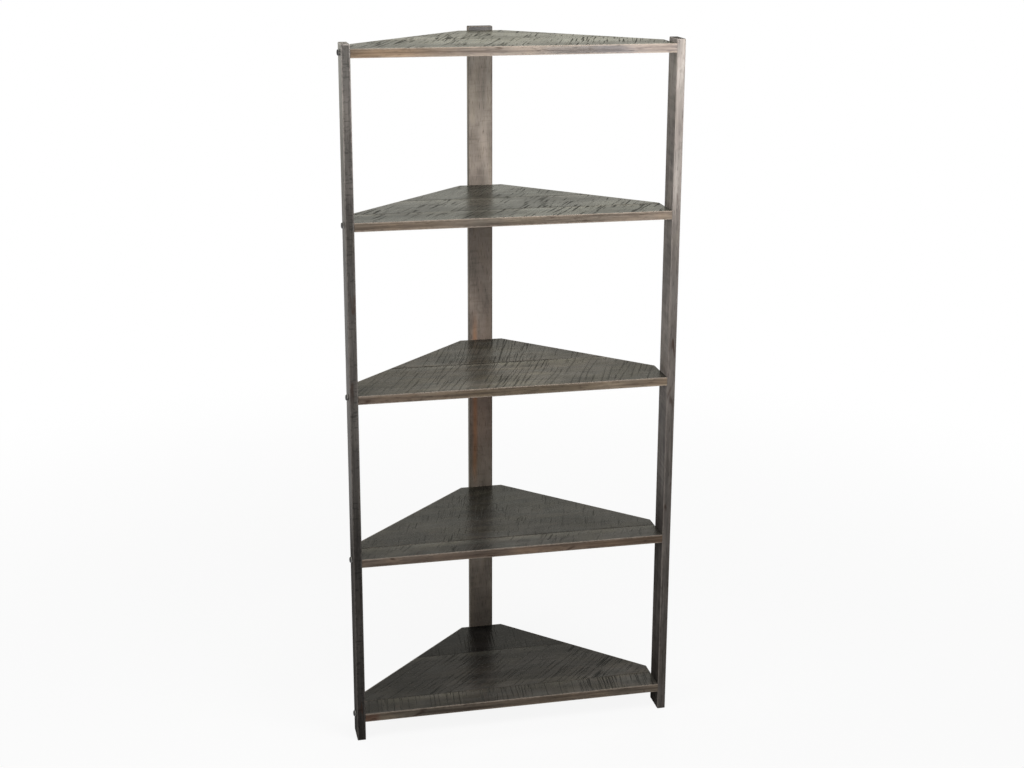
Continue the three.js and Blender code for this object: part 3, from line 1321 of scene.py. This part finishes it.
def make_floor():
    """A plain pale floor that fades into the white background."""
    deselect_all()
    bpy.ops.mesh.primitive_plane_add(size=FLOOR_SIZE, location=(0, 0, 0))
    floor = bpy.context.object
    floor.name = "pale_floor"
    material, tree, shader = new_finish("pale_floor_paint")
    wires = {"Base Color": FLOOR_PALE, "Roughness": 0.9, "Specular IOR Level": 0}
    wire(tree, shader, wires)
    white = put(tree, "ShaderNodeEmission", {"Color": WHITE, "Strength": 1.0})
    place = put(tree, "ShaderNodeTexCoord").outputs["Object"]
    away = vector_calc(tree, "LENGTH", stretch(tree, place, (1, 1, 0)))
    fade = ramp(
        tree, away, FLOOR_FADE_START, FLOOR_FADE_END, FLOOR_WHITE_SHARE, 1.0
    )
    share = times(tree, fade, background_rays(tree))
    mix = put(
        tree, "ShaderNodeMixShader", {0: share, 1: shader.outputs[0], 2: white.outputs[0]}
    )
    wire(tree, tree.nodes["Material Output"], {"Surface": mix.outputs[0]})
    floor.data.materials.append(material)


def make_world():
    """White where it is seen, a little warm in gloss, and a soft fill where it lights."""
    world = bpy.data.worlds.new("studio")
    world.use_nodes = True
    tree = world.node_tree
    glossy = put(tree, "ShaderNodeLightPath").outputs["Is Glossy Ray"]
    wires = {
        "Color": tint(tree, glossy, WHITE, WARM_WHITE),
        "Strength": ramp(tree, background_rays(tree), 0.0, 1.0, SKY_STRENGTH, 1.0),
    }
    wire(tree, tree.nodes["Background"], wires)
    bpy.context.scene.world = world


make_floor()
make_world()

# lamps


def add_lamp(name, place, aim, size, power):
    """A square soft lamp that looks at a point, and that gloss doesn't show."""
    lamp = bpy.data.lights.new(name, "AREA")
    lamp.size = size
    lamp.energy = power
    holder = bpy.data.objects.new(name, lamp)
    holder.location = place
    way = Vector(aim) - Vector(place)
    holder.rotation_euler = way.to_track_quat("-Z", "Y").to_euler()
    holder.visible_camera = False
    holder.visible_glossy = False
    bpy.context.collection.objects.link(holder)


add_lamp("high_lamp", (0.4, -1.0, 2.0), (0.08, 0, 1.6), 0.9, 17)
add_lamp("top_lamp", (0, -0.5, 3.3), (0, 0, 1.6), 1.4, 20)
add_lamp("left_lamp", (-1.6, -1.0, 1.35), (-0.3, 0, 1.35), 1.0, 12)
add_lamp("low_lamp", (1.2, -1.5, 0.3), (0.2, 0, 0.3), 0.9, 2.8)
add_lamp("back_left_lamp", (-1.4, 1.6, 2.2), (0, 0, 1.1), 1.2, 12)
add_lamp("back_right_lamp", (1.4, 1.6, 2.2), (0, 0, 1.1), 1.2, 12)

# camera

CAMERA_PLACE = Vector((-0.84994, -4.04671, 2.17945))
CAMERA_YAW = math.radians(12.44)
CAMERA_PITCH = math.radians(15.37)
CAMERA_ROLL = math.radians(0.21)
IMAGE_WIDTH = 1024
IMAGE_HEIGHT = 768
FOCAL_PIXELS = 1598.79
CENTRE_ROW = 330
SENSOR = 36


def make_camera():
    """The camera stands where the photograph was taken from."""
    data = bpy.data.cameras.new("photo_camera")
    data.sensor_width = SENSOR
    data.lens = FOCAL_PIXELS / IMAGE_WIDTH * SENSOR
    data.shift_y = (CENTRE_ROW - IMAGE_HEIGHT / 2) / IMAGE_WIDTH
    data.clip_end = 200
    camera = bpy.data.objects.new("photo_camera", data)
    bpy.context.collection.objects.link(camera)
    ahead = Vector(
        (
            math.sin(CAMERA_YAW) * math.cos(CAMERA_PITCH),
            math.cos(CAMERA_YAW) * math.cos(CAMERA_PITCH),
            -math.sin(CAMERA_PITCH),
        )
    )
    level = Vector((math.cos(CAMERA_YAW), -math.sin(CAMERA_YAW), 0))
    upright = level.cross(ahead)
    right = level * math.cos(CAMERA_ROLL) + upright * math.sin(CAMERA_ROLL)
    up = upright * math.cos(CAMERA_ROLL) - level * math.sin(CAMERA_ROLL)
    turn = Matrix((right, up, -ahead)).transposed()
    camera.matrix_world = Matrix.Translation(CAMERA_PLACE) @ turn.to_4x4()
    bpy.context.scene.camera = camera


make_camera()
bpy.context.scene.view_settings.view_transform = "Standard"
